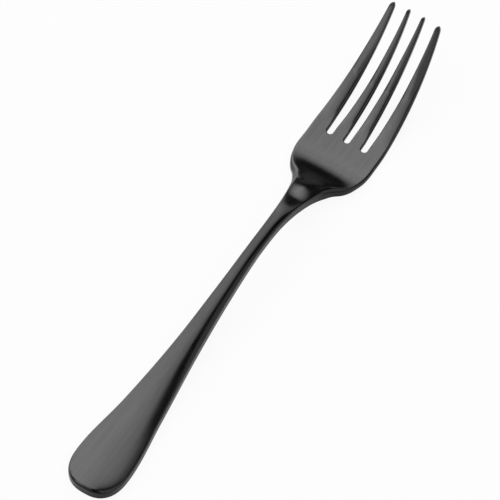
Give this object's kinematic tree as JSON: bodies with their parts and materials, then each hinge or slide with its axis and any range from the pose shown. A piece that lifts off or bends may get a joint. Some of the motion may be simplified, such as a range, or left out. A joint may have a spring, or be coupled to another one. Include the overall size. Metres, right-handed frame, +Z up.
{
  "type": "dinner fork",
  "caption": "Dinner fork in satin black steel: a flat rounded handle tapers to a slim arched shank, and a flared neck leads to a hollow head with curved tines.",
  "frame": {"origin": "middle of the fork's length and width, on the table it lies on", "axes": "+X along the fork from the handle's end to the points of the tines, +Y to the left, +Z up out of the hollow of the head"},
  "size_m": [0.2049, 0.028, 0.0254],
  "materials": {
    "black_steel": "satin black, finely brushed along the length"
  },
  "bodies": {
    "root": {"handle": "black_steel", "shank": "black_steel", "neck": "black_steel", "head": "black_steel", "tine_outer_left": "black_steel", "tine_inner_left": "black_steel", "tine_inner_right": "black_steel", "tine_outer_right": "black_steel"}
  },
  "joints": []
}
